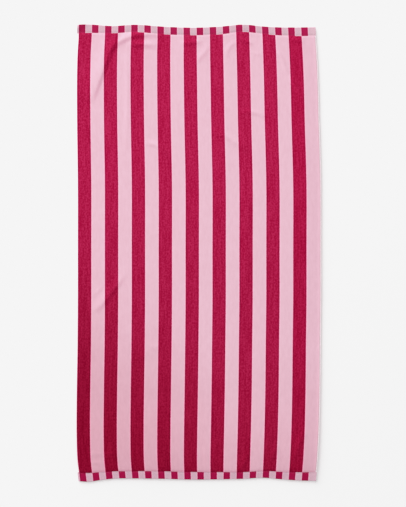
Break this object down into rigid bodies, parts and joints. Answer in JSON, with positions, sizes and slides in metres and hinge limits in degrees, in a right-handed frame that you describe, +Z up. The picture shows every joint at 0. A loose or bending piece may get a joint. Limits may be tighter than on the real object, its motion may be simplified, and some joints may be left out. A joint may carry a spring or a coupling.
{
  "type": "beach towel",
  "caption": "Rectangular cotton beach towel laid flat, with lengthwise crimson and pink stripes in cut pile and flat-woven hem bands at both ends.",
  "frame": {"origin": "middle of the laid towel's box, on the surface that it lies on", "axes": "+Z up out of the pile side, +Y along the stripes to the top end, +X across to the right side"},
  "size_m": [0.911, 1.702, 0.0103],
  "materials": {
    "cloth": "cut cotton pile in crimson and pale pink stripes, flat weave in the hem bands, matt"
  },
  "bodies": {
    "root": {"towel": "cloth"}
  },
  "joints": []
}
